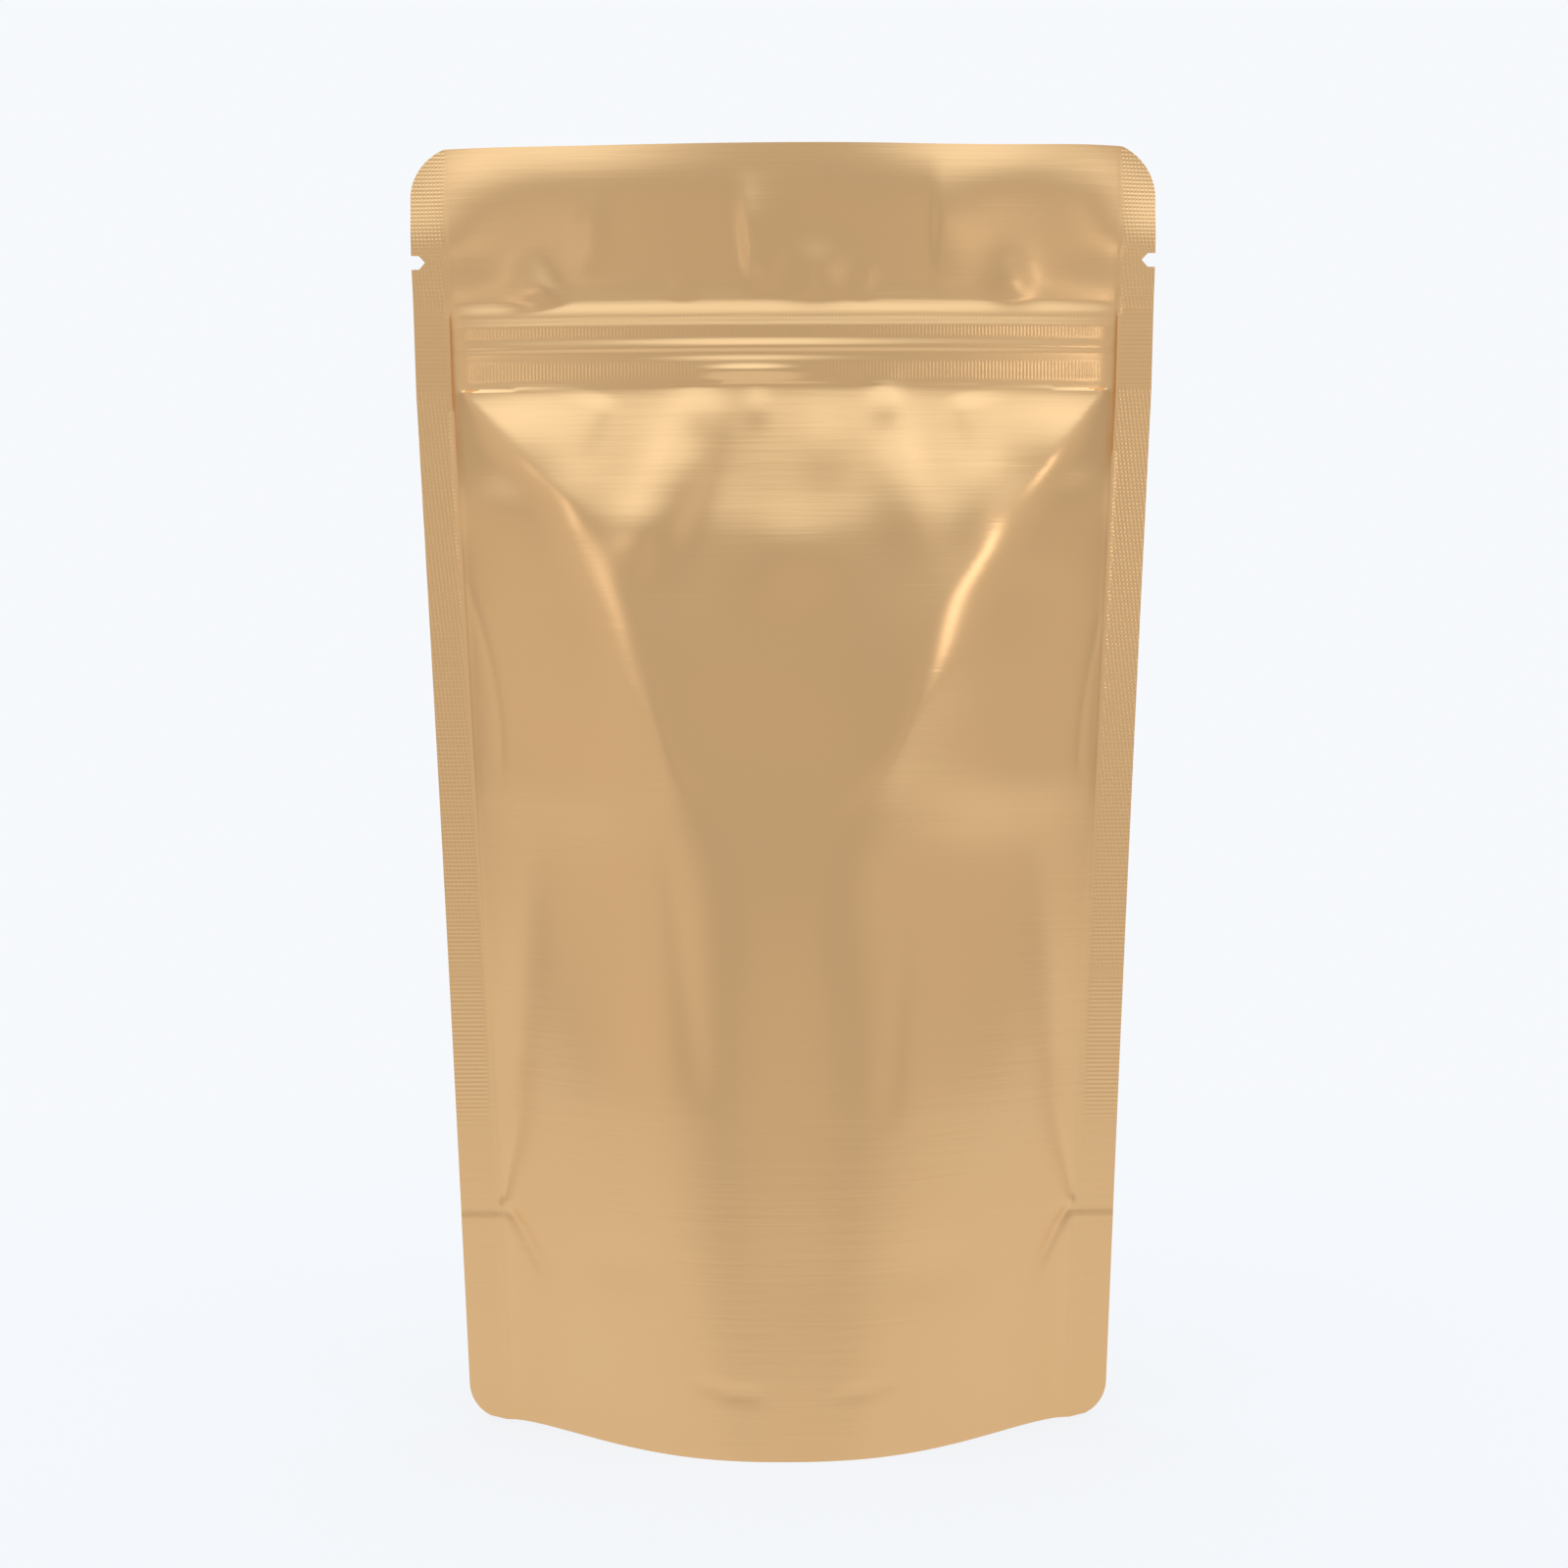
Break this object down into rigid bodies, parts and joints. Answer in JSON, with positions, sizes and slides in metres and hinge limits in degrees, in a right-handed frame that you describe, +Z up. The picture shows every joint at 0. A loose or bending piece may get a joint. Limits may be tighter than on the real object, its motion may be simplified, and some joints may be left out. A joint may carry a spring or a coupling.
{
  "type": "stand-up pouch",
  "caption": "Shut stand-up pouch of gold foil film with side seals, a press-to-close zip, tear notches and a spread foot gusset.",
  "frame": {"origin": "on the floor, midway between the side seals and between the front and back of the foot", "axes": "+X to the right across the front panel, +Y from the front panel to the back, +Z up from foot to top edge"},
  "size_m": [0.13, 0.0602, 0.223],
  "materials": {
    "foil": "satin gold foil laminate"
  },
  "bodies": {
    "root": {"pouch": "foil"}
  },
  "joints": []
}
